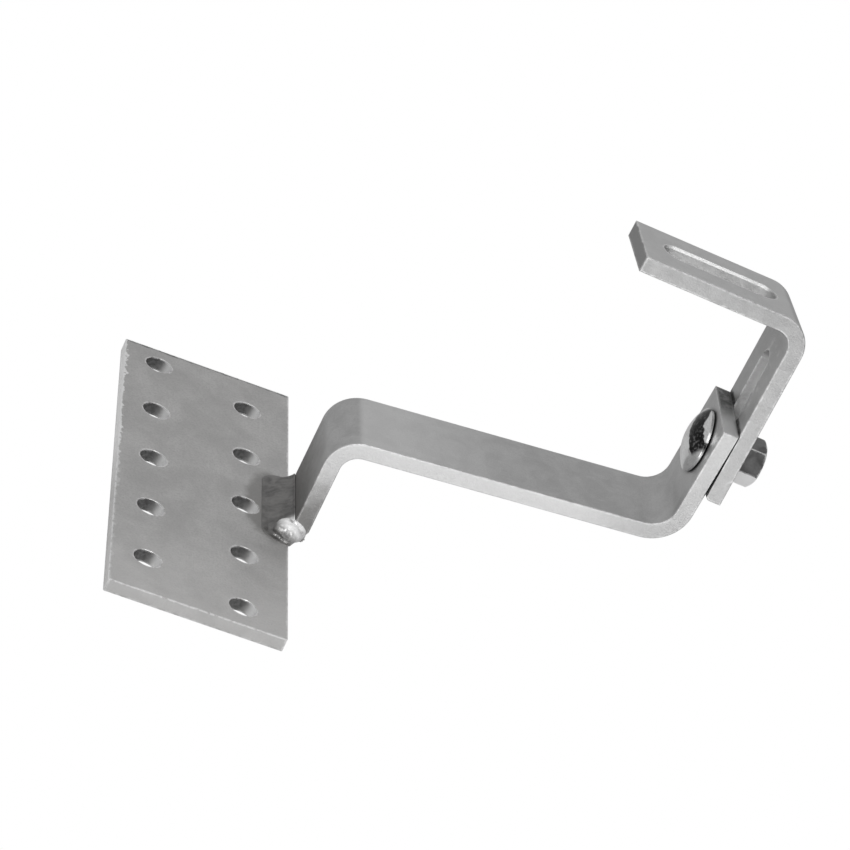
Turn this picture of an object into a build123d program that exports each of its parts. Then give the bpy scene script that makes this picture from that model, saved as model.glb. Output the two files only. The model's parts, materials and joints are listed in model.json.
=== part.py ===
"""Adjustable solar roof hook: a drilled base plate, a welded cranked arm and a bolted slotted bracket.

Millimetres, +Z up. The base plate lies flat with its underside on z = 0 and its centre at x = y = 0.
The arm runs from the plate's +X edge towards +X and rises to an upright, where the bracket is bolted.
"""

import os
from math import cos, pi, radians, sin, tan

from build123d import *

# Base plate
plate_length = 152.0
plate_width = 58.0
plate_thickness = 4.5
plate_corner_radius = 0.6
hole_diameter = 9.0
hole_pitch = 30.7
holes_per_column = 5
hole_end_margin = 10.0
far_column_inset = 12.0
arm_column_inset = 14.7
hole_rim_chamfer = 0.1

# Flat bar of the arm and the bracket
bar_width = 30.0
bar_thickness = 5.5
bar_edge_radius = 0.4

# Arm: side view, measured on its upper face
foot_clearance = 1.0
foot_height = 42.65
foot_lean = 0.5
foot_land = 1.6
foot_bevel_height = 7.2
foot_bend_radius = 6.0
run_reach = 108.9
run_rise = 4.4
upright_bend_radius = 8.2
upright_lean = 3.0
bolt_rise = 25.8
upright_above_bolt = 13.0
neck_clearance = 0.15

# Bracket: outside lengths, measured from its square ends
leg_length = 66.0
leg_below_bolt = 12.2
leg_end_radius = 1.8
flange_length = 59.5
bracket_bend_radius = 5.5
bracket_swivel = 5.5
leg_slot_width = 9.0
leg_slot_length = 41.0
leg_slot_margin = 7.5
flange_slot_width = 11.0
flange_slot_length = 39.5
flange_slot_margin = 7.9
clamp_gap = 0.1

# M8 round-head square-neck bolt
bolt_diameter = 8.0
bolt_length = 20.7
bolt_end_chamfer = 0.8
head_diameter = 21.2
head_height = 5.0
head_rim_height = 1.5
head_undercut = 0.7
neck_width = 8.0
neck_length = 4.6

# M8 flange nut
nut_sides = 6
nut_across_flats = 14.0
nut_turn = -24.0
nut_height = 9.0
nut_chamfer_angle = 30.0
nut_flange_diameter = 18.0
nut_flange_rim = 1.2
nut_flange_slope = 25.0
nut_bore_clearance = 0.1

# Weld round the foot; a lump closes each end, placed from the foot's corner on the plate
weld_leg_on_plate = 9.0
weld_leg_at_ends = 5.6
weld_leg_on_arm = 6.4
weld_sag = 1.1
near_lump_size = (11.0, 10.0, 8.2)
near_lump_place = (-0.7, -0.6, 2.2)
far_lump_size = (6.0, 8.0, 5.0)
far_lump_place = (0.0, -0.5, 0.5)
drip_size = (4.4, 3.6, 4.0)
drip_place = (3.2, -0.2, 1.2)


def bar_profile(path, radii, thickness, start_radius):
    """Side view of a bent flat bar whose left face follows path.

    radii are the inside bend radii, and start_radius rounds the left corner of the first end.
    """
    steps = [(b - a).normalized() for a, b in zip(path, path[1:])]
    sides = [Vector(step.Y, -step.X) * thickness for step in steps]
    right = [path[0] + sides[0]]
    left_radii, right_radii = [], []
    for index, radius in enumerate(radii):
        turn = steps[index].get_signed_angle(steps[index + 1], Vector(0, 0, 1))
        reach = thickness * tan(radians(abs(turn)) / 2)
        inward = 1 if turn > 0 else -1
        right.append(path[index + 1] + sides[index] + steps[index] * reach * inward)
        left_radii.append(radius if inward > 0 else radius + thickness)
        right_radii.append(radius + thickness if inward > 0 else radius)
    right.append(path[-1] + sides[-1])
    rim = [start_radius, *left_radii, 0, 0, *reversed(right_radii), 0]
    outline = FilletPolyline(*path, *reversed(right), radius=rim, close=True)
    return make_face(outline.edges())


def bent_bar(path, radii, start_radius=0):
    """A flat bar, bent to the side view that path gives, centred on y = 0."""
    side_view = Plane.XZ * bar_profile(path, radii, bar_thickness, start_radius)
    bar = extrude(side_view, amount=bar_width / 2, both=True)
    flanks = bar.faces().filter_by(Axis.Y)
    return fillet(flanks.edges(), bar_edge_radius)


def slot_cutter(width, length, depth):
    """A round-ended cutter along X, square to Z, with its first end at x = 0 and centred on z = 0."""
    outline = Pos(length / 2, 0) * SlotOverall(length, width)
    return extrude(outline, amount=depth, both=True)


def place_on_upright(shape):
    """Move a piece from the bolt's own frame, x along the bolt and z up the bar, to the upright."""
    return Pos(bolt_x, 0, bolt_z) * Rot(0, upright_lean, 0) * shape


def column_points(x, first_y):
    """Hole centres of one column, from its +Y end."""
    return [(x, first_y - index * hole_pitch) for index in range(holes_per_column)]


# Side view of the arm's upper face, as (x, z)
foot_start = Vector(plate_width / 2, foot_clearance)
foot_corner = foot_start + Vector(foot_height * tan(radians(foot_lean)), foot_height)
upright_corner = foot_corner + Vector(run_reach, run_reach * tan(radians(run_rise)))
upright_step = Vector(sin(radians(upright_lean)), cos(radians(upright_lean)))
bolt_point = upright_corner + upright_step * bolt_rise
upright_end = bolt_point + upright_step * upright_above_bolt
bolt_x, bolt_z = bolt_point.X, bolt_point.Y

# Where the bracket and the nut stand along the bolt
leg_face = bar_thickness + clamp_gap
nut_face = leg_face + bar_thickness + clamp_gap


def make_base_plate():
    last_y = plate_length / 2 - hole_end_margin
    column_span = (holes_per_column - 1) * hole_pitch
    far_column = column_points(far_column_inset - plate_width / 2, last_y)
    arm_column = column_points(plate_width / 2 - arm_column_inset, column_span - last_y)
    plate = extrude(
        RectangleRounded(plate_width, plate_length, plate_corner_radius), amount=plate_thickness
    )
    for x, y in far_column + arm_column:
        plate -= Pos(x, y, plate_thickness / 2) * Cylinder(hole_diameter / 2, plate_thickness)
    rims = plate.edges().filter_by(GeomType.CIRCLE)
    rims = rims.filter_by(lambda edge: abs(edge.radius - hole_diameter / 2) < hole_rim_chamfer)
    return chamfer(rims, hole_rim_chamfer)


def make_hook_arm():
    path = [foot_start, foot_corner, upright_corner, upright_end]
    arm = bent_bar(path, [foot_bend_radius, upright_bend_radius])
    outer_x = foot_start.X + bar_thickness
    bevel = Polyline(
        (foot_start.X + foot_land, foot_clearance),
        (foot_start.X + foot_land, 0),
        (outer_x + foot_land, 0),
        (outer_x + foot_land, foot_clearance + foot_bevel_height),
        (outer_x, foot_clearance + foot_bevel_height),
        close=True,
    )
    arm -= extrude(Plane.XZ * make_face(bevel.edges()), amount=bar_width, both=True)
    opening = neck_width + 2 * neck_clearance
    neck_hole = Box(2 * bar_thickness, opening, opening)
    neck_hole = Pos(bar_thickness / 2, 0, 0) * neck_hole
    return arm - place_on_upright(neck_hole)


def make_upper_bracket():
    top = leg_length - leg_below_bolt
    corner = Vector(leg_face, top - bar_thickness)
    path = [
        Vector(leg_face, -leg_below_bolt),
        corner,
        corner + Vector(bar_thickness - flange_length, 0),
    ]
    bracket = bent_bar(path, [bracket_bend_radius], leg_end_radius)
    leg_slot = slot_cutter(leg_slot_width, leg_slot_length, 2 * bar_thickness)
    leg_slot = Pos(leg_face, 0, leg_slot_margin - leg_below_bolt) * Rot(0, -90, 0) * leg_slot
    flange_slot = slot_cutter(flange_slot_width, flange_slot_length, 2 * bar_thickness)
    flange_end = leg_face + bar_thickness - flange_length
    flange_slot = Pos(flange_end + flange_slot_margin, 0, top) * flange_slot
    bracket = bracket - leg_slot - flange_slot
    return place_on_upright(Rot(-bracket_swivel, 0, 0) * bracket)


def make_carriage_bolt():
    rim = head_diameter / 2
    bolt_radius = bolt_diameter / 2
    dome = TangentArc((-head_height, 0), (-head_rim_height, rim), tangent=(0, 1))
    underside = Polyline(
        (-head_rim_height, rim),
        (-head_undercut, rim),
        (0, rim - head_undercut),
        (0, 0),
        (-head_height, 0),
    )
    head = revolve(make_face(dome.edges() + underside.edges()), Axis.X)
    neck = Pos(neck_length / 2, 0, 0) * Box(neck_length, neck_width, neck_width)
    shank = Pos(bolt_length / 2, 0, 0) * Rot(0, 90, 0) * Cylinder(bolt_radius, bolt_length)
    shank_end = shank.edges().filter_by(GeomType.CIRCLE).sort_by(Axis.X)[-1]
    shank = chamfer(shank_end, bolt_end_chamfer)
    return place_on_upright(head + neck + shank)


def make_flange_nut():
    half_flats = nut_across_flats / 2
    corner_radius = half_flats / cos(pi / nut_sides)
    flange_radius = nut_flange_diameter / 2
    cone_height = (flange_radius - half_flats) * tan(radians(nut_flange_slope))
    chamfer_drop = (corner_radius - half_flats) * tan(radians(nut_chamfer_angle))
    outline = RegularPolygon(corner_radius, nut_sides)
    hexagon = Rot(nut_turn, 0, 0) * Rot(0, 90, 0) * extrude(outline, amount=nut_height)
    bound = Polyline(
        (0, 0),
        (0, corner_radius),
        (nut_height - chamfer_drop, corner_radius),
        (nut_height, half_flats),
        (nut_height, 0),
        close=True,
    )
    skirt = Polyline(
        (0, 0),
        (0, flange_radius),
        (nut_flange_rim, flange_radius),
        (nut_flange_rim + cone_height, half_flats),
        (nut_flange_rim + cone_height, 0),
        close=True,
    )
    body = hexagon & revolve(make_face(bound.edges()), Axis.X)
    flange = revolve(make_face(skirt.edges()), Axis.X)
    bore = Rot(0, 90, 0) * Cylinder(bolt_diameter / 2 + nut_bore_clearance, 2 * nut_height)
    nut = Pos(nut_face, 0, 0) * (body + flange - bore)
    return place_on_upright(nut)


def make_weld_bead(base_plate):
    half_width = bar_width / 2
    toe = (-weld_leg_at_ends, 0)
    crown = (0, weld_leg_on_arm)
    middle = ((toe[0] + weld_sag) / 2, (crown[1] - weld_sag) / 2)
    sides = Polyline(toe, (0, 0), crown).edges() + ThreePointArc(toe, middle, crown).edges()
    section = Plane.XZ * make_face(sides)
    bead = extrude(section, amount=half_width, both=True)
    for side in (-1, 1):
        end_axis = Axis((0, side * half_width, 0), (0, 0, -side))
        bead += revolve(Pos(0, side * half_width, 0) * section, end_axis, 90)
    bead = scale(bead, by=(weld_leg_on_plate / weld_leg_at_ends, 1, 1))
    foot = Pos(plate_width / 2, 0, 0) * Box(plate_width, bar_width, plate_length)
    lumps = (
        (-half_width, near_lump_place, near_lump_size),
        (-half_width, drip_place, drip_size),
        (half_width, far_lump_place, far_lump_size),
    )
    for corner_y, place, size in lumps:
        lump = Pos(0, corner_y, 0) * Pos(*place) * scale(Sphere(0.5), by=size)
        bead += lump - foot
    return Pos(plate_width / 2, 0, plate_thickness) * bead - base_plate


def main():
    os.makedirs("parts", exist_ok=True)
    base_plate = make_base_plate()
    export_step(base_plate, "parts/base_plate.step")
    export_step(make_hook_arm(), "parts/hook_arm.step")
    export_step(make_weld_bead(base_plate), "parts/weld_bead.step")
    export_step(make_upper_bracket(), "parts/upper_bracket.step")
    export_step(make_carriage_bolt(), "parts/carriage_bolt.step")
    export_step(make_flange_nut(), "parts/flange_nut.step")


main()
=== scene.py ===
import json
import math

import bpy
from mathutils import Matrix, Vector, noise
from mathutils.bvhtree import BVHTree


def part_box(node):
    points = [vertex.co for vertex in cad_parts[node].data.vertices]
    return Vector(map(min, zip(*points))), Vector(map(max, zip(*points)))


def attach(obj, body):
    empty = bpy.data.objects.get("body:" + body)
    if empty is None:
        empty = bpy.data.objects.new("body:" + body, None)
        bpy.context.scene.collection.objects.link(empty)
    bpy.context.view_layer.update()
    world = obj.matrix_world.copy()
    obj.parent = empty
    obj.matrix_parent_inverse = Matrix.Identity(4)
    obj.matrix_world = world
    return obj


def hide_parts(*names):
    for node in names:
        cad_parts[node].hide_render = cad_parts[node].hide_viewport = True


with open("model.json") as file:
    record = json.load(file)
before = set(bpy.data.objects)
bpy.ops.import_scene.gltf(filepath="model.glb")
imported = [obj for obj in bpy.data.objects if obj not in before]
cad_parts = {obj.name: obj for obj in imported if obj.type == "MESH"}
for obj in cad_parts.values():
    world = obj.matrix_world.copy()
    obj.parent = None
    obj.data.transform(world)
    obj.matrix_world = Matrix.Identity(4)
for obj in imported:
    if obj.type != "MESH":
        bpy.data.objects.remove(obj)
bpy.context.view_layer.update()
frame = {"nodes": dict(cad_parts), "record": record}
print("frame loaded:", ", ".join(sorted(frame["nodes"])))


# short ways to lay nodes

def addNode(tree, kind, **values):
    node = tree.nodes.new(kind)
    for name, value in values.items():
        setattr(node, name, value)
    return node


def setInputs(node, **values):
    for name, value in values.items():
        node.inputs[name].default_value = value


def feed(tree, value, socket):
    # a number or a tuple is set on the socket, an output is linked to it
    if isinstance(value, (int, float, tuple)):
        socket.default_value = value
    else:
        tree.links.new(value, socket)


def newGroup(name, inputs, outputs):
    # inputs are (name, socket type, default), outputs are (name, socket type)
    group = bpy.data.node_groups.new(name, "ShaderNodeTree")
    for socketName, kind, default in inputs:
        socket = group.interface.new_socket(socketName, in_out="INPUT", socket_type=kind)
        if default is not None:
            socket.default_value = default
    for socketName, kind in outputs:
        group.interface.new_socket(socketName, in_out="OUTPUT", socket_type=kind)
    return group, addNode(group, "NodeGroupInput"), addNode(group, "NodeGroupOutput")


def useGroup(tree, group, **values):
    node = addNode(tree, "ShaderNodeGroup", node_tree=group)
    for name, value in values.items():
        feed(tree, value, node.inputs[name.replace("_", " ")])
    return node


def maths(tree, operation, first, second=None, clamp=False):
    node = addNode(tree, "ShaderNodeMath", operation=operation, use_clamp=clamp)
    feed(tree, first, node.inputs[0])
    if second is not None:
        feed(tree, second, node.inputs[1])
    return node.outputs[0]


def vectorMaths(tree, operation, first, second=None, output="Vector"):
    node = addNode(tree, "ShaderNodeVectorMath", operation=operation)
    feed(tree, first, node.inputs[0])
    if second is not None:
        feed(tree, second, node.inputs[1])
    return node.outputs[output]


def remap(tree, value, low, high, outLow=0.0, outHigh=1.0):
    node = addNode(tree, "ShaderNodeMapRange", interpolation_type="SMOOTHSTEP")
    settings = {"Value": value, "From Min": low, "From Max": high, "To Min": outLow, "To Max": outHigh}
    for name, setting in settings.items():
        feed(tree, setting, node.inputs[name])
    return node.outputs["Result"]


def fade(tree, value, full, gone):
    # 1 below full, 0 above gone
    return remap(tree, value, full, gone, 1.0, 0.0)


def allOf(tree, *masks):
    result = masks[0]
    for mask in masks[1:]:
        result = maths(tree, "MULTIPLY", result, mask)
    return result


def distance(tree, value, middle=0.0):
    return maths(tree, "ABSOLUTE", maths(tree, "SUBTRACT", value, middle))


def nearTo(tree, value, middle, inner, outer):
    # 1 where value is within inner of middle, 0 beyond outer
    return fade(tree, distance(tree, value, middle), inner, outer)


def mixColour(tree, factor, first, second):
    node = addNode(tree, "ShaderNodeMix", data_type="RGBA", blend_type="MIX")
    mixA, mixB, mixed = 6, 7, 2  # where the node keeps its colour sockets
    for index, value in ((0, factor), (mixA, first), (mixB, second)):
        feed(tree, value, node.inputs[index])
    return node.outputs[mixed]


def objectPoint(tree, stretch=(1, 1, 1), turn=(0, 0, 0)):
    coord = addNode(tree, "ShaderNodeTexCoord")
    mapping = addNode(tree, "ShaderNodeMapping")
    setInputs(mapping, Scale=stretch, Rotation=turn)
    feed(tree, coord.outputs["Object"], mapping.inputs["Vector"])
    return mapping.outputs["Vector"]


def faceNormal(tree):
    return addNode(tree, "ShaderNodeTexCoord").outputs["Normal"]


def component(tree, vector, axis):
    node = addNode(tree, "ShaderNodeSeparateXYZ")
    feed(tree, vector, node.inputs[0])
    return node.outputs[axis]


def placeOn(tree, axis):
    return component(tree, objectPoint(tree), axis)


def turnOn(tree, axis):
    return component(tree, faceNormal(tree), axis)


def alongAxis(tree, vector, axis):
    return vectorMaths(tree, "DOT_PRODUCT", vector, tuple(axis), "Value")


noiseMiddle = 0.5  # the value that noise swings around


def noiseValue(tree, vector, scale, detail=4.0, roughness=0.55, distortion=0.0):
    node = addNode(tree, "ShaderNodeTexNoise")
    setInputs(node, Detail=detail, Roughness=roughness, Distortion=distortion)
    feed(tree, scale, node.inputs["Scale"])
    feed(tree, vector, node.inputs["Vector"])
    return node.outputs["Fac"]


def grey(value, warmth=0.0):
    return (value * (1 + warmth), value, value * (1 - warmth), 1.0)


# lengths are in metres, and tones go from 0, black, to 1, white
# effects shared by the metals: a pair holds the two ends of a mask's border
effectLook = {
    "wearGlintSamples": 6, "wearGlintScale": 420.0, "wearGlintBroken": (0.4, 0.62), "wearGlintTurn": (0.002, 0.045),
    "lineWidth": 0.012, "linePatchScale": 70.0, "linePatchBorder": 0.1,
    "gapSamples": 8, "gapOpen": (0.25, 0.85), "borderScale": 220.0, "facingBorder": 0.05,
    "cloudSpread": (0.3, 0.7), "fineSpread": (0.35, 0.75), "bumpDistance": 0.0004,
}


def makeEdgeWear(look):
    # 1 where an edge turns outwards sharply, broken up by noise; the bright colour laid there is wear and
    # painted edge highlight
    group, given, result = newGroup(
        "edgeWear",
        [("Radius", "NodeSocketFloat", 0.0008), ("Amount", "NodeSocketFloat", 1.0)],
        [("Mask", "NodeSocketFloat")],
    )
    bevel = addNode(group, "ShaderNodeBevel", samples=look["wearGlintSamples"])
    feed(group, given.outputs["Radius"], bevel.inputs["Radius"])
    normal = addNode(group, "ShaderNodeNewGeometry").outputs["Normal"]
    alike = vectorMaths(group, "DOT_PRODUCT", bevel.outputs["Normal"], normal, "Value")
    turned = maths(group, "SUBTRACT", 1.0, alike)
    grain = noiseValue(group, objectPoint(group), look["wearGlintScale"], detail=5.0, roughness=0.7)
    broken = remap(group, grain, *look["wearGlintBroken"])
    wear = remap(group, maths(group, "MULTIPLY", turned, broken), *look["wearGlintTurn"])
    feed(group, maths(group, "MULTIPLY", wear, given.outputs["Amount"], True), result.inputs["Mask"])
    return group


def makeMottle():
    # the cloudy tone and fine grain of pickled or blasted steel
    group, given, result = newGroup(
        "mottle",
        [("Cloud Scale", "NodeSocketFloat", 60.0), ("Fine Scale", "NodeSocketFloat", 900.0)],
        [("Cloud", "NodeSocketFloat"), ("Fine", "NodeSocketFloat")],
    )
    point = objectPoint(group)
    cloud = noiseValue(
        group, point, given.outputs["Cloud Scale"], detail=5.0, roughness=0.6, distortion=0.4
    )
    fine = noiseValue(group, point, given.outputs["Fine Scale"], detail=3.0, roughness=0.7)
    feed(group, cloud, result.inputs["Cloud"])
    feed(group, fine, result.inputs["Fine"])
    return group


def makeScratches(look):
    # sparse thin lines along the stretch of the vector
    group, given, result = newGroup(
        "scratches",
        [("Vector", "NodeSocketVector", None), ("Density", "NodeSocketFloat", 0.5)],
        [("Mask", "NodeSocketFloat")],
    )
    lines = noiseValue(
        group, given.outputs["Vector"], 1.0, detail=2.0, roughness=0.5, distortion=0.15
    )
    mask = nearTo(group, lines, noiseMiddle, 0.0, look["lineWidth"])
    patches = noiseValue(group, objectPoint(group), look["linePatchScale"], detail=3.0, roughness=0.5)
    limit = maths(group, "SUBTRACT", 1.0, given.outputs["Density"])
    shown = remap(group, patches, limit, maths(group, "ADD", limit, look["linePatchBorder"]))
    feed(group, maths(group, "MULTIPLY", mask, shown, True), result.inputs["Mask"])
    return group


def makeCrevice(look):
    # 1 deep in gaps and corners, 0 on open faces; it lays painted shade from ambient occlusion
    group, given, result = newGroup(
        "crevice",
        [("Distance", "NodeSocketFloat", 0.002), ("Amount", "NodeSocketFloat", 1.0)],
        [("Mask", "NodeSocketFloat")],
    )
    occlusion = addNode(group, "ShaderNodeAmbientOcclusion", samples=look["gapSamples"])
    feed(group, given.outputs["Distance"], occlusion.inputs["Distance"])
    mask = fade(group, occlusion.outputs["AO"], *look["gapOpen"])
    feed(group, maths(group, "MULTIPLY", mask, given.outputs["Amount"], True), result.inputs["Mask"])
    return group


def makeStain(look):
    # 1 near Centre, fading to 0 where the distance over Radii is 1, with an uneven border
    group, given, result = newGroup(
        "stain",
        [
            ("Centre", "NodeSocketVector", None),
            ("Radii", "NodeSocketVector", None),
            ("Softness", "NodeSocketFloat", 0.3),
            ("Ragged", "NodeSocketFloat", 0.25),
        ],
        [("Mask", "NodeSocketFloat")],
    )
    offset = vectorMaths(group, "SUBTRACT", objectPoint(group), given.outputs["Centre"])
    ratio = vectorMaths(group, "DIVIDE", offset, given.outputs["Radii"])
    length = vectorMaths(group, "LENGTH", ratio, output="Value")
    grain = noiseValue(group, objectPoint(group), look["borderScale"], detail=4.0, roughness=0.6)
    swing = maths(group, "SUBTRACT", grain, noiseMiddle)
    border = maths(group, "MULTIPLY", swing, given.outputs["Ragged"])
    inner = maths(group, "SUBTRACT", 1.0, given.outputs["Softness"])
    feed(group, fade(group, maths(group, "ADD", length, border), inner, 1.0), result.inputs["Mask"])
    return group


def makeFacing(look):
    # 1 on faces whose own normal points along Axis, within Limit
    group, given, result = newGroup(
        "facing",
        [("Axis", "NodeSocketVector", None), ("Limit", "NodeSocketFloat", 0.9)],
        [("Mask", "NodeSocketFloat")],
    )
    alike = vectorMaths(group, "DOT_PRODUCT", faceNormal(group), given.outputs["Axis"], "Value")
    upper = maths(group, "ADD", given.outputs["Limit"], look["facingBorder"])
    feed(group, remap(group, alike, given.outputs["Limit"], upper), result.inputs["Mask"])
    return group


edgeWear = makeEdgeWear(effectLook)
crevice = makeCrevice(effectLook)
stain = makeStain(effectLook)
facing = makeFacing(effectLook)
mottle = makeMottle()
scratches = makeScratches(effectLook)
print("shared effects made")


def stainMask(tree, centre, radii, softness, ragged):
    node = useGroup(
        tree, stain, Centre=tuple(centre), Radii=tuple(radii), Softness=softness, Ragged=ragged
    )
    return node.outputs["Mask"]


def newMaterial(name, metallic):
    material = bpy.data.materials.new(name)
    material.use_nodes = True
    tree = material.node_tree
    tree.nodes.clear()
    principled = addNode(tree, "ShaderNodeBsdfPrincipled")
    setInputs(principled, Metallic=metallic)
    output = addNode(tree, "ShaderNodeOutputMaterial")
    tree.links.new(principled.outputs["BSDF"], output.inputs["Surface"])
    return material, tree, principled


def makeSteel(name, look, marks=(), clear=None, dull=None, seam=None):
    # marks are (mask maker, (tone, warmth, amount, roughness change)), laid over the steel in turn
    # clear keeps the painted shade of gaps off a place, dull makes it matt, and seam is painted shade
    # over everything
    material, tree, principled = newMaterial(name, look["metallic"])
    tone = useGroup(tree, mottle, Cloud_Scale=look["cloudScale"], Fine_Scale=look["fineScale"])
    cloud, fine = tone.outputs["Cloud"], tone.outputs["Fine"]
    dark, light = grey(look["dark"], look["warmth"]), grey(look["light"], look["warmth"])
    base = mixColour(tree, remap(tree, cloud, *effectLook["cloudSpread"]), dark, light)
    specks = remap(tree, fine, *effectLook["fineSpread"], 0.0, look["speckle"])
    base = mixColour(tree, specks, base, grey(look["speckleTone"]))
    along = objectPoint(tree, look["scratchStretch"], look["scratchTurn"])
    lines = useGroup(tree, scratches, Vector=along, Density=look["scratchDensity"]).outputs["Mask"]
    lineAmount = maths(tree, "MULTIPLY", lines, look["scratchAmount"])
    base = mixColour(tree, lineAmount, base, grey(look["scratchTone"]))
    smoothest, roughest = look["roughness"] - look["roughSpread"], look["roughness"] + look["roughSpread"]
    rough = remap(tree, cloud, *effectLook["cloudSpread"], smoothest, roughest)
    for makeMask, (markTone, warmth, amount, roughChange) in marks:
        mask = maths(tree, "MULTIPLY", makeMask(tree), amount)
        base = mixColour(tree, mask, base, grey(markTone, warmth))
        rough = maths(tree, "ADD", rough, maths(tree, "MULTIPLY", mask, roughChange))
    # bright edges: wear and painted edge highlight
    wear = useGroup(tree, edgeWear, Radius=look["wearRadius"], Amount=look["wearAmount"]).outputs["Mask"]
    base = mixColour(tree, wear, base, grey(look["wearTone"]))
    rough = maths(tree, "SUBTRACT", rough, maths(tree, "MULTIPLY", wear, look["wearGlintPolish"]), True)
    # painted shade in gaps and corners
    gaps = useGroup(tree, crevice, Distance=look["creviceReach"], Amount=look["creviceAmount"])
    deep = gaps.outputs["Mask"]
    if clear:
        deep = maths(tree, "MULTIPLY", deep, maths(tree, "SUBTRACT", 1.0, clear(tree)))
    base = mixColour(tree, deep, base, grey(look["creviceTone"]))
    if seam:
        base = mixColour(tree, seam(tree), base, grey(look["creviceTone"]))
    feed(tree, base, principled.inputs["Base Color"])
    feed(tree, rough, principled.inputs["Roughness"])
    if dull:
        bare = maths(tree, "SUBTRACT", 1.0, dull(tree))
        feed(tree, maths(tree, "MULTIPLY", bare, look["metallic"]), principled.inputs["Metallic"])
    grain = maths(tree, "MULTIPLY", fine, look["grainHeight"])
    height = maths(tree, "ADD", grain, maths(tree, "MULTIPLY", cloud, look["cloudHeight"]))
    height = maths(tree, "SUBTRACT", height, maths(tree, "MULTIPLY", lines, look["scratchDepth"]))
    bump = addNode(tree, "ShaderNodeBump")
    setInputs(bump, Strength=look["bump"], Distance=effectLook["bumpDistance"])
    feed(tree, height, bump.inputs["Height"])
    feed(tree, bump.outputs["Normal"], principled.inputs["Normal"])
    return material


def dress(nodeName, material):
    mesh = frame["nodes"][nodeName].data
    mesh.materials.clear()
    mesh.materials.append(material)


def corners(name):
    return [Vector(corner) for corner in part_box(name)]


weldLow, weldHigh = corners("weld_bead")
plateLow, plateHigh = corners("base_plate")
bracketLow, bracketHigh = corners("upper_bracket")
boltMiddle = sum(corners("carriage_bolt"), Vector()) / 2
slideAxis = Vector(frame["record"]["behaviour"]["joints"][0]["axis"])
mountPlace = {mount["name"]: Vector(mount["pos_m"]) for mount in frame["record"]["mounts"]}

# base plate: pickled sheet, cloudy, with fine rolling scratches
plateLook = {
    "metallic": 0.85, "dark": 0.54, "light": 0.66, "warmth": 0.008, "cloudScale": 70.0,
    "fineScale": 1500.0, "speckle": 0.4, "speckleTone": 0.36, "scratchStretch": (900.0, 30.0, 30.0),
    "scratchTurn": (0, 0, 0.1), "scratchDensity": 0.46, "scratchAmount": 0.3, "scratchTone": 0.8,
    "scratchDepth": 0.08, "wearRadius": 0.0011, "wearAmount": 1.0, "wearTone": 1.0, "wearGlintPolish": 0.12,
    "roughness": 0.45, "roughSpread": 0.06, "bump": 0.6, "grainHeight": 0.3, "cloudHeight": 0.7,
    "creviceReach": 0.0012, "creviceAmount": 0.6, "creviceTone": 0.12,
    # marks: tone, warmth, amount, roughness change
    "pale": (0.8, 0.01, 0.5, 0.05), "cut": (0.45, 0.0, 0.25, 0.0), "tint": (0.22, 0.03, 0.6, 0.05),
    "far": (0.2, 0.0, 0.8, 0.05), "holeShade": (0.1, 0.0, 0.9, 0.0), "holeShine": (1.0, 0.0, 0.9, 0.1),
    "shearedHighlight": (1.0, 0.0, 0.85, 0.25), "armSide": (1.0, 0.0, 0.5, 0.1),
    # where the marks lie
    "tintMargin": 0.0035, "tintShift": 0.004, "tintSoftness": 0.22, "tintRagged": 0.35,
    "paleReach": 0.055, "paleScale": 90.0, "palePatches": (0.3, 0.6, 0.6, 1.0),
    "wallTurn": (0.2, 0.5), "rimOuter": 0.0015, "rimInner": 0.001, "shadeTurn": (-0.75, 0.1),
    "shadeScale": 900.0, "shadeGrain": (0.3, 0.7, 0.75, 1.0), "shineTurn": (-0.95, -0.3),
    "frontTurn": (-0.95, -0.8), "shearedAlong": (-0.03, 0.02, 0.25, 1.0),
    # bands along edges: width, raggedness, scale of the raggedness
    "shearedBand": (0.0002, 0.0016, 380.0), "farBand": (0.0007, 0.0008, 200.0),
    "armSideBand": (0.0002, 0.0006, 300.0), "bandNoise": (0.42, 0.72), "bandBorder": 0.0001,
}


def heatTint(tree):
    centre = (weldLow + weldHigh) / 2 - Vector((plateLook["tintShift"], 0, 0))
    radii = (weldHigh - weldLow) / 2 + Vector((1, 1, 1)) * plateLook["tintMargin"]
    return stainMask(tree, centre, radii, plateLook["tintSoftness"], plateLook["tintRagged"])


def paleEnd(tree):
    # painted light: the near end is lighter, in patches
    along = fade(tree, placeOn(tree, "Y"), plateLow.y, plateLow.y + plateLook["paleReach"])
    patches = noiseValue(tree, objectPoint(tree), plateLook["paleScale"], detail=4.0, roughness=0.6)
    return allOf(tree, along, remap(tree, patches, *plateLook["palePatches"]))


def cutFront(tree):
    # painted shade: the plate's near cut face is darker
    return fade(tree, turnOn(tree, "Y"), *plateLook["frontTurn"])


def inHoles(tree):
    # upright walls away from the plate's outline
    masks = [fade(tree, distance(tree, turnOn(tree, "Z")), *plateLook["wallTurn"])]
    for axis, reach in (("X", plateHigh.x), ("Y", plateHigh.y)):
        inner, outer = reach - plateLook["rimOuter"], reach - plateLook["rimInner"]
        masks.append(fade(tree, distance(tree, placeOn(tree, axis)), inner, outer))
    return allOf(tree, *masks)


def holeShade(tree):
    turned = remap(tree, turnOn(tree, "X"), *plateLook["shadeTurn"])
    grain = noiseValue(tree, objectPoint(tree), plateLook["shadeScale"], detail=3.0, roughness=0.6)
    return allOf(tree, inHoles(tree), turned, remap(tree, grain, *plateLook["shadeGrain"]))


def holeShine(tree):
    return allOf(tree, inHoles(tree), fade(tree, turnOn(tree, "X"), *plateLook["shineTurn"]))


def edgeBand(tree, axis, edge, width, ragged, scale):
    # 1 within width of an edge, with a ragged border
    grain = noiseValue(tree, objectPoint(tree), scale, detail=4.0, roughness=0.65)
    uneven = maths(tree, "MULTIPLY", remap(tree, grain, *plateLook["bandNoise"]), ragged)
    limit = maths(tree, "ADD", uneven, width)
    past = maths(tree, "SUBTRACT", distance(tree, placeOn(tree, axis), edge), limit)
    return fade(tree, past, -plateLook["bandBorder"], plateLook["bandBorder"])


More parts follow.
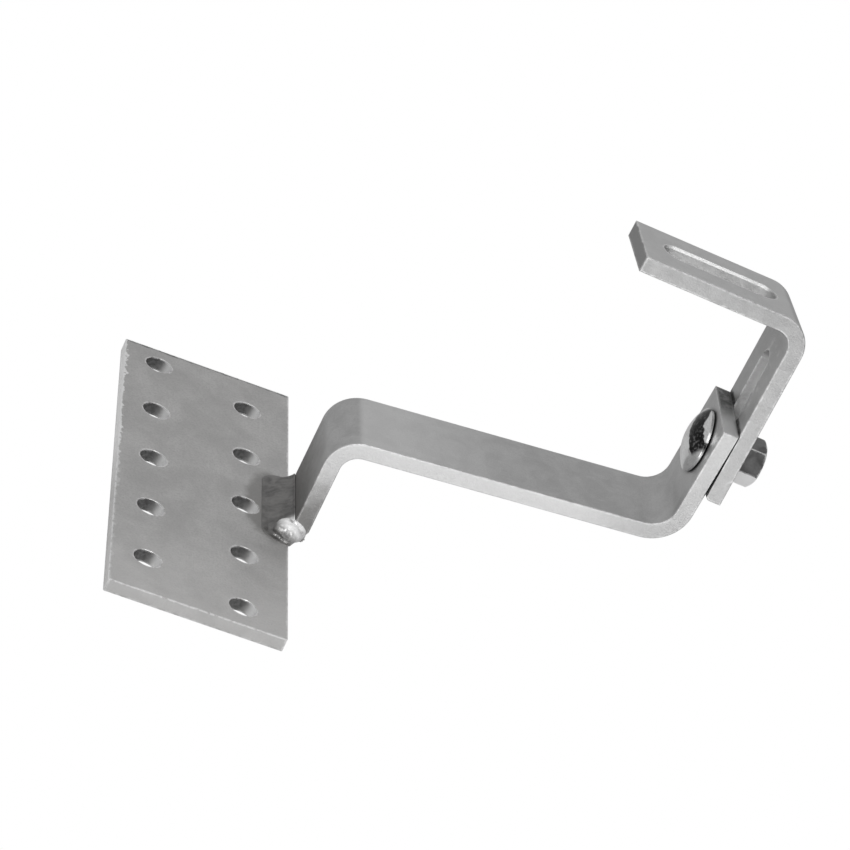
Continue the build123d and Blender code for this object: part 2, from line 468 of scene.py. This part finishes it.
def shearedEdge(tree):
    # painted highlight along the −X edge, towards the far end only
    along = remap(tree, placeOn(tree, "Y"), *plateLook["shearedAlong"])
    return allOf(tree, edgeBand(tree, "X", plateLow.x, *plateLook["shearedBand"]), along)


def farEdge(tree):
    # painted shade: a dark band along the plate's far edge
    return edgeBand(tree, "Y", plateHigh.y, *plateLook["farBand"])


def armSideEdge(tree):
    return edgeBand(tree, "X", plateHigh.x, *plateLook["armSideBand"])


plateMarks = [
    (paleEnd, plateLook["pale"]),
    (cutFront, plateLook["cut"]),
    (heatTint, plateLook["tint"]),
    (farEdge, plateLook["far"]),
    (holeShade, plateLook["holeShade"]),
    (holeShine, plateLook["holeShine"]),
    (shearedEdge, plateLook["shearedHighlight"]),
    (armSideEdge, plateLook["armSide"]),
]
dress("base_plate", makeSteel("plateSteel", plateLook, plateMarks, clear=heatTint, dull=holeShine))
print("base plate dressed")

# bent bars: blasted flat bar
barLook = {
    "metallic": 0.85, "dark": 0.49, "light": 0.59, "warmth": 0.0, "cloudScale": 150.0,
    "fineScale": 1700.0, "speckle": 0.35, "speckleTone": 0.36, "scratchStretch": (40.0, 1200.0, 40.0),
    "scratchTurn": (0, 0, 0.05), "scratchDensity": 0.42, "scratchAmount": 0.3, "scratchTone": 0.85,
    "scratchDepth": 0.1, "wearRadius": 0.0013, "wearAmount": 0.6, "wearTone": 1.0, "wearGlintPolish": 0.08,
    "roughness": 0.44, "roughSpread": 0.05, "bump": 0.5, "grainHeight": 0.5, "cloudHeight": 0.8,
    "creviceReach": 0.003, "creviceAmount": 0.95, "creviceTone": 0.04,
    # the seam where the bars are clamped together
    "seamHalf": 0.0003, "seamOuter": 0.00039, "seamTurn": (0.93, 0.99), "seamTop": 0.0002,
    "seamFoot": 0.001,
}
armVertices = frame["nodes"]["hook_arm"].data.vertices
legVertices = frame["nodes"]["upper_bracket"].data.vertices
armUp = Vector((slideAxis.x, 0, slideAxis.z)).normalized()  # the arm isn't turned about the bolt
outwardTurn = 0.99  # how squarely the upright's outer face looks along X
outerFace = max(
    (face for face in frame["nodes"]["hook_arm"].data.polygons if face.normal.x > outwardTurn),
    key=lambda face: face.center.x,
)
armEndHeight = max(vertex.co.dot(armUp) for vertex in armVertices)
legEndHeight = min(vertex.co.dot(slideAxis) for vertex in legVertices)
flangeHeight = mountPlace["flange_top"].dot(slideAxis)


def clampSeam(tree):
    # painted shade in the seam where the arm and the bracket are clamped together
    point, normal, across = objectPoint(tree), faceNormal(tree), outerFace.normal
    depth, top = outerFace.center.dot(across), barLook["seamTop"]
    foot = alongAxis(tree, point, slideAxis)
    return allOf(
        tree,
        nearTo(tree, alongAxis(tree, point, across), depth, barLook["seamHalf"], barLook["seamOuter"]),
        nearTo(tree, alongAxis(tree, normal, across), 0.0, *barLook["seamTurn"]),
        fade(tree, alongAxis(tree, point, armUp), armEndHeight - top, armEndHeight + top),
        remap(tree, foot, legEndHeight, legEndHeight + barLook["seamFoot"]),
    )


# the arm is heat-stained at its foot and rough at its sawn end
armLook = dict(
    barLook, wearAmount=0.45,
    # marks: tone, warmth, amount, roughness change
    run=(0.9, 0.0, 0.45, 0.0), rolled=(0.9, 0.0, 0.55, 0.0), tint=(0.2, 0.03, 0.8, 0.02),
    sawnBright=(0.9, 0.0, 0.9, 0.0), sawnDark=(0.06, 0.0, 0.9, 0.05),
    # where the marks lie
    runAlong=(0.045, 0.1), runTurn=(0.93, 0.99), rolledTurn=(0.8, 0.95),
    rolledAlong=(0.105, 0.135, 1.0, 0.15), tintReach=1.6, tintSide=0.05, tintHeight=0.034,
    tintSoftness=0.6, tintRagged=0.3, endTurn=0.85, endDepth=(0.0005, 0.001),
    sawnDarkAcross=(-0.008, 0.008), sawnBrightAcross=(-0.014, 0.004), sawScale=420.0,
    sawGrain=(0.35, 0.6, 0.6, 1.0),
)


def runLight(tree):
    # painted light: the foot end of the run is brighter on top
    along = fade(tree, placeOn(tree, "X"), *armLook["runAlong"])
    return allOf(tree, along, remap(tree, turnOn(tree, "Z"), *armLook["runTurn"]))


def rolledEdge(tree):
    # painted light: the narrow rolled edges are lit brighter than the faces, less so on the upright
    sideways = remap(tree, distance(tree, turnOn(tree, "Y")), *armLook["rolledTurn"])
    return allOf(tree, sideways, remap(tree, placeOn(tree, "X"), *armLook["rolledAlong"]))


def armTint(tree):
    centre = (weldHigh.x, 0, weldLow.z)
    radii = ((weldHigh.x - weldLow.x) * armLook["tintReach"], armLook["tintSide"], armLook["tintHeight"])
    return stainMask(tree, centre, radii, armLook["tintSoftness"], armLook["tintRagged"])


def armEnd(tree):
    end = useGroup(tree, facing, Axis=tuple(slideAxis), Limit=armLook["endTurn"]).outputs["Mask"]
    height = alongAxis(tree, objectPoint(tree), armUp)
    return allOf(tree, end, nearTo(tree, height, armEndHeight, *armLook["endDepth"]))


def sawnDark(tree):
    # the sawn end is dark at its far side
    across = remap(tree, placeOn(tree, "Y"), *armLook["sawnDarkAcross"])
    grain = noiseValue(tree, objectPoint(tree), armLook["sawScale"], detail=4.0, roughness=0.65)
    return allOf(tree, armEnd(tree), across, remap(tree, grain, *armLook["sawGrain"]))


def sawnBright(tree):
    return allOf(tree, armEnd(tree), fade(tree, placeOn(tree, "Y"), *armLook["sawnBrightAcross"]))


armMarks = [
    (runLight, armLook["run"]),
    (rolledEdge, armLook["rolled"]),
    (armTint, armLook["tint"]),
    (sawnBright, armLook["sawnBright"]),
    (sawnDark, armLook["sawnDark"]),
]
dress("hook_arm", makeSteel("armSteel", armLook, armMarks, clear=armTint, seam=clampSeam))
print("arm dressed")

# the bracket is scuffed around its slots
bracketLook = dict(
    barLook, dark=0.45, light=0.54,
    # marks: tone, warmth, amount, roughness change
    top=(0.9, 0.0, 0.35, 0.0), cut=(0.3, 0.0, 0.85, 0.1), patches=(0.9, 0.0, 0.25, 0.1),
    dirt=(0.04, 0.0, 0.8, 0.1), glint=(1.0, 0.0, 1.0, 0.05),
    # where the marks lie
    topTurn=(0.9, 0.97), cutTurn=(-0.95, -0.8), cutReach=(0.003, 0.004),
    patchScale=330.0, patchGrain=(0.5, 0.58), patchAcross=(0.005, 0.0075), patchAlong=(0.018, 0.021),
    patchDepth=(0.02, 0.015), dirtScale=500.0, dirtFray=0.0024, dirtDrop=0.0006,
    dirtHeight=(0.0003, 0.0007), dirtTurn=(-0.97, -0.9),
    glintHeight=(0.0008, 0.0012), glintTurn=(-0.9, -0.6), glintAcross=(0.0085, 0.0095),
)


def flangeTop(tree):
    # painted light: the flange's upward faces are lighter
    return remap(tree, alongAxis(tree, faceNormal(tree), slideAxis), *bracketLook["topTurn"])


def cutEnd(tree):
    # painted shade: the flange's end face at low X is darker
    inner, outer = bracketLook["cutReach"]
    near = fade(tree, placeOn(tree, "X"), bracketLow.x + inner, bracketLow.x + outer)
    return allOf(tree, fade(tree, turnOn(tree, "X"), *bracketLook["cutTurn"]), near)


def legPatches(tree):
    # scuffed patches around the leg's slot
    point = objectPoint(tree)
    grain = noiseValue(tree, point, bracketLook["patchScale"], detail=4.0, roughness=0.65)
    middle = (legEndHeight + flangeHeight) / 2
    start, full = bracketLook["patchDepth"]
    return allOf(
        tree,
        remap(tree, grain, *bracketLook["patchGrain"]),
        nearTo(tree, component(tree, point, "Y"), 0.0, *bracketLook["patchAcross"]),
        nearTo(tree, alongAxis(tree, point, slideAxis), middle, *bracketLook["patchAlong"]),
        remap(tree, component(tree, point, "X"), bracketHigh.x - start, bracketHigh.x - full),
    )


def endDirt(tree):
    # dirt and painted contact shadow on the leg against the arm's sawn end
    point = objectPoint(tree)
    grain = noiseValue(tree, point, bracketLook["dirtScale"], detail=4.0, roughness=0.65)
    fray = maths(tree, "MULTIPLY", grain, bracketLook["dirtFray"])
    height = maths(tree, "SUBTRACT", alongAxis(tree, point, armUp), fray)
    turn = alongAxis(tree, faceNormal(tree), outerFace.normal)
    return allOf(
        tree,
        nearTo(tree, height, armEndHeight - bracketLook["dirtDrop"], *bracketLook["dirtHeight"]),
        fade(tree, turn, *bracketLook["dirtTurn"]),
    )


def slotGlint(tree):
    # painted highlight on the upper rim of the flange slot's far wall
    point, across = objectPoint(tree), mountPlace["rail_slot"].y
    return allOf(
        tree,
        nearTo(tree, alongAxis(tree, point, slideAxis), flangeHeight, *bracketLook["glintHeight"]),
        fade(tree, turnOn(tree, "Y"), *bracketLook["glintTurn"]),
        nearTo(tree, component(tree, point, "Y"), across, *bracketLook["glintAcross"]),
    )


bracketMarks = [
    (flangeTop, bracketLook["top"]),
    (cutEnd, bracketLook["cut"]),
    (legPatches, bracketLook["patches"]),
    (endDirt, bracketLook["dirt"]),
    (slotGlint, bracketLook["glint"]),
]
dress("upper_bracket", makeSteel("bracketSteel", bracketLook, bracketMarks, seam=clampSeam))
print("bracket dressed")

# weld: uneven bead with a molten lump at its near end
weldLook = {
    "metallic": 0.9, "dark": 0.13, "light": 0.3, "warmth": 0.02, "cloudScale": 200.0,
    "fineScale": 1500.0, "speckle": 0.5, "speckleTone": 0.2, "scratchStretch": (200.0, 200.0, 200.0),
    "scratchTurn": (0, 0, 0), "scratchDensity": 0.3, "scratchAmount": 0.2, "scratchTone": 0.7,
    "scratchDepth": 0.1, "wearRadius": 0.0005, "wearAmount": 0.05, "wearTone": 0.9, "wearGlintPolish": 0.1,
    "roughness": 0.38, "roughSpread": 0.1, "bump": 0.5, "grainHeight": 0.5, "cloudHeight": 1.2,
    "creviceReach": 0.001, "creviceAmount": 0.0, "creviceTone": 0.1,
    # the bright lump: tone, warmth, amount, roughness change, then where it lies
    "shine": (1.0, 0.0, 1.0, 0.0), "shineAcross": 0.65, "lumpIn": 0.0052, "lumpUp": 0.006,
    "shineRadii": (0.0072, 0.0062, 0.0068), "shineSoftness": 0.55, "shineRagged": 0.7,
    "coreAcross": 0.58, "coreRadii": (0.0045, 0.005, 0.007), "coreSoftness": 0.6, "coreRagged": 0.9,
    "wispStretch": (420.0, 260.0, 160.0), "wisps": (0.34, 0.46),
    # the shape of the surface
    "voxel": 0.00035, "seam": 0.0008, "seatTurn": 0.9, "ripplePitch": 0.0024, "rippleDrift": 1.6,
    "driftSpan": 3, "rippleDepth": 0.00007, "lumpShare": 0.25, "lumpBorder": 0.004, "lumpDepth": 0.0013,
    "grain": 0.003, "grainAmount": 0.42, "fineGrain": 2.7, "fineAmount": 0.12, "creaseAngle": 38.0,
}


def lumpCentre(across):
    return (
        weldLow.x * (1 - across) + weldHigh.x * across,
        weldLow.y + weldLook["lumpIn"],
        weldLow.z + weldLook["lumpUp"],
    )


def weldShine(tree):
    centre = lumpCentre(weldLook["shineAcross"])
    return stainMask(
        tree, centre, weldLook["shineRadii"], weldLook["shineSoftness"], weldLook["shineRagged"]
    )


def weldCore(tree):
    # the whitest part of the lump, broken by dark wisps
    centre = lumpCentre(weldLook["coreAcross"])
    core = stainMask(
        tree, centre, weldLook["coreRadii"], weldLook["coreSoftness"], weldLook["coreRagged"]
    )
    stretched = objectPoint(tree, weldLook["wispStretch"])
    wisps = noiseValue(tree, stretched, 1.0, detail=4.0, roughness=0.6, distortion=0.8)
    return allOf(tree, core, remap(tree, wisps, *weldLook["wisps"]))


def evenMesh(source, voxel):
    work = bpy.data.objects.new("weldWork", source.data.copy())
    bpy.context.scene.collection.objects.link(work)
    remesh = work.modifiers.new("even", "REMESH")
    remesh.mode = "VOXEL"
    remesh.voxel_size = voxel
    bpy.context.view_layer.update()
    mesh = bpy.data.meshes.new_from_object(work.evaluated_get(bpy.context.evaluated_depsgraph_get()))
    bpy.data.objects.remove(work)
    return mesh


nearestDistance = 3  # which item of a search's answer is the distance


def searchTree(name):
    mesh = frame["nodes"][name].data
    places = [vertex.co for vertex in mesh.vertices]
    return BVHTree.FromPolygons(places, [tuple(face.vertices) for face in mesh.polygons])


def roughenWeld(mesh, look):
    # sinks the free surface unevenly and brings it up to its neighbours at the seams
    neighbours = [searchTree(name) for name in ("hook_arm", "base_plate")]
    normals = [vertex.normal.copy() for vertex in mesh.vertices]
    lumpEnd = weldLow.y + (weldHigh.y - weldLow.y) * look["lumpShare"]
    for vertex, normal in zip(mesh.vertices, normals):
        place = vertex.co
        gap = min(tree.find_nearest(place)[nearestDistance] for tree in neighbours)
        free = min(1.0, gap / look["seam"])
        if max(normal.x, -normal.z) > look["seatTurn"] and gap < look["voxel"]:
            continue  # seated on a neighbour
        drift = look["rippleDrift"] * noise.noise(place / (look["driftSpan"] * look["grain"]))
        ripple = 0.5 + 0.5 * math.cos(2 * math.pi * (place.y / look["ripplePitch"] + drift))
        rough = 0.5 + look["grainAmount"] * noise.noise(place / look["grain"])
        rough += look["fineAmount"] * noise.noise(place * look["fineGrain"] / look["grain"])
        lump = min(1.0, max(0.0, (lumpEnd - place.y) / look["lumpBorder"]))
        depth = look["rippleDepth"] * (ripple * (1 - lump) + rough) + look["lumpDepth"] * lump * rough
        vertex.co = place - normal * (depth * free - look["voxel"] * (1 - free))


def makeWeld(look):
    mesh = evenMesh(frame["nodes"]["weld_bead"], look["voxel"])
    roughenWeld(mesh, look)
    for polygon in mesh.polygons:
        polygon.use_smooth = True
    mesh.set_sharp_from_angle(angle=math.radians(look["creaseAngle"]))
    mesh.materials.clear()
    mesh.materials.append(makeSteel("weldSteel", look, [(weldShine, look["shine"])], dull=weldCore))
    weld = bpy.data.objects.new("weldPool", mesh)
    bpy.context.scene.collection.objects.link(weld)
    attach(weld, "hook_body")
    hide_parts("weld_bead")
    print("weld made:", len(mesh.vertices), "vertices")


makeWeld(weldLook)

# bolt and nut: bright, harder steel
boltLook = {
    "metallic": 1.0, "dark": 0.85, "light": 1.0, "warmth": 0.0, "cloudScale": 200.0,
    "fineScale": 1800.0, "speckle": 0.3, "speckleTone": 0.3, "scratchStretch": (900.0, 900.0, 120.0),
    "scratchTurn": (0, 0.3, 0), "scratchDensity": 0.4, "scratchAmount": 0.2, "scratchTone": 0.3,
    "scratchDepth": 0.15, "wearRadius": 0.0004, "wearAmount": 0.7, "wearTone": 0.95, "wearGlintPolish": 0.0,
    "roughness": 0.14, "roughSpread": 0.05, "bump": 0.25, "grainHeight": 0.15, "cloudHeight": 0.4,
    "creviceReach": 0.001, "creviceAmount": 0.6, "creviceTone": 0.05,
    # the painted dark reflection on the head: tone, warmth, amount, roughness change, then where it lies
    "shade": (0.02, 0.0, 1.0, 0.0), "shadeUp": (0, -0.5, 0.85), "shadePlace": 0.0055,
    "shadeHalf": 0.0034, "shadeInner": 0.00289, "shadeReach": 0.0088, "shadeReachInner": 0.00704,
    "frayScale": 450.0, "fray": 0.003, "grainScale": 900.0, "shadeGrain": (0.3, 0.5, 0.8, 1.0),
}
nutLook = dict(
    boltLook, dark=0.12, light=0.24, fineScale=1500.0, speckleTone=0.1, roughness=0.22,
    wearRadius=0.001, wearAmount=1.8, wearTone=1.0,
    # the painted highlight on the underside: tone, warmth, amount, roughness change
    underside=(1.0, 0.0, 0.95, 0.35), undersideTurn=(-0.5, -0.4),
)


def headShade(tree):
    # painted reflection: the dark band that a polished dome shows beside its rim, frayed at the border
    point, up = objectPoint(tree), Vector(boltLook["shadeUp"]).normalized()
    along = up.cross(Vector((1, 0, 0)))
    fray = noiseValue(tree, point, boltLook["frayScale"], detail=4.0, roughness=0.6)
    fray = maths(tree, "MULTIPLY", maths(tree, "SUBTRACT", fray, noiseMiddle), boltLook["fray"])
    height = maths(tree, "ADD", alongAxis(tree, point, up), fray)
    place, reach = boltMiddle.dot(up) + boltLook["shadePlace"], alongAxis(tree, point, along)
    grain = noiseValue(tree, point, boltLook["grainScale"], detail=3.0, roughness=0.6)
    return allOf(
        tree,
        nearTo(tree, height, place, boltLook["shadeInner"], boltLook["shadeHalf"]),
        nearTo(tree, reach, boltMiddle.dot(along), boltLook["shadeReachInner"], boltLook["shadeReach"]),
        remap(tree, grain, *boltLook["shadeGrain"]),
    )


def nutUnderside(tree):
    # painted highlight: the downward faces are bright
    return fade(tree, turnOn(tree, "Z"), *nutLook["undersideTurn"])


dress("carriage_bolt", makeSteel("boltSteel", boltLook, [(headShade, boltLook["shade"])]))
dress("flange_nut", makeSteel("nutSteel", nutLook, [(nutUnderside, nutLook["underside"])]))
print("bolt and nut dressed")

# stage: pale floor, two softboxes and an even sky
stageLook = {
    "floorSize": 6.0, "floorSeen": 1.0, "floorFelt": 0.75, "worldStrength": 0.49,
    "keyPower": 1.6, "keyPlace": (-0.05, -0.42, 0.5), "keySize": (0.45, 0.3), "keyAim": (0.08, 0.0, 0.05),
    "tablePower": 0.44, "tablePlace": (0.12, -0.2, 0.012), "tableSize": (0.5, 0.2),
    "tableAim": (0.12, -0.15, 0.3),
}


def paperMaterial(look):
    # white to look at, but a calmer tone where it lights the steel
    material = bpy.data.materials.new("floorPaper")
    material.use_nodes = True
    tree = material.node_tree
    tree.nodes.clear()
    seen = addNode(tree, "ShaderNodeEmission")
    setInputs(seen, Color=grey(1.0), Strength=look["floorSeen"])
    felt = addNode(tree, "ShaderNodeBsdfDiffuse")
    setInputs(felt, Color=grey(look["floorFelt"]))
    path = addNode(tree, "ShaderNodeLightPath")
    mix = addNode(tree, "ShaderNodeMixShader")
    output = addNode(tree, "ShaderNodeOutputMaterial")
    tree.links.new(path.outputs["Is Camera Ray"], mix.inputs["Fac"])
    tree.links.new(felt.outputs["BSDF"], mix.inputs[1])
    tree.links.new(seen.outputs["Emission"], mix.inputs[2])
    tree.links.new(mix.outputs["Shader"], output.inputs["Surface"])
    return material


def makeFloor(look):
    mesh = bpy.data.meshes.new("floor")
    half = look["floorSize"] / 2
    outline = [(-half, -half, 0), (half, -half, 0), (half, half, 0), (-half, half, 0)]
    mesh.from_pydata(outline, [], [(0, 1, 2, 3)])
    mesh.materials.append(paperMaterial(look))
    floor = bpy.data.objects.new("floor", mesh)
    bpy.context.scene.collection.objects.link(floor)


def makeSoftbox(name, power, place, size, target):
    data = bpy.data.lights.new(name, "AREA")
    data.shape = "RECTANGLE"
    data.size, data.size_y = size
    data.energy = power
    light = bpy.data.objects.new(name, data)
    light.location = place
    light.visible_camera = False
    light.rotation_euler = (Vector(target) - Vector(place)).to_track_quat("-Z", "Y").to_euler()
    bpy.context.scene.collection.objects.link(light)


def makeStage(look):
    makeFloor(look)
    for name in ("key", "table"):
        power, place, size, aim = (look[name + part] for part in ("Power", "Place", "Size", "Aim"))
        makeSoftbox(name + "Softbox", power, place, size, aim)
    world = bpy.data.worlds.new("studio")
    world.use_nodes = True
    setInputs(world.node_tree.nodes["Background"], Color=grey(1.0), Strength=look["worldStrength"])
    bpy.context.scene.world = world
    bpy.context.scene.view_settings.view_transform = "Standard"


cameraLook = {
    "azimuth": 13.7633, "elevation": 26.2113, "roll": 25.8744, "distance": 1.325273,
    "target": (0.055785, -0.00417, 0.05232), "lens": 179.149, "sensor": 36.0,
}


def makeCamera(look):
    data = bpy.data.cameras.new("camera")
    data.lens = look["lens"]
    data.sensor_width = look["sensor"]
    camera = bpy.data.objects.new("camera", data)
    azimuth, elevation = math.radians(look["azimuth"]), math.radians(look["elevation"])
    ahead = Vector((
        math.sin(azimuth) * math.cos(elevation),
        math.cos(azimuth) * math.cos(elevation),
        -math.sin(elevation),
    ))
    level = ahead.to_track_quat("-Z", "Y").to_matrix().to_4x4()
    roll = Matrix.Rotation(-math.radians(look["roll"]), 4, ahead)
    place = Vector(look["target"]) - ahead * look["distance"]
    camera.matrix_world = Matrix.Translation(place) @ roll @ level
    bpy.context.scene.collection.objects.link(camera)
    bpy.context.scene.camera = camera


makeStage(stageLook)
makeCamera(cameraLook)
print("stage and camera set")
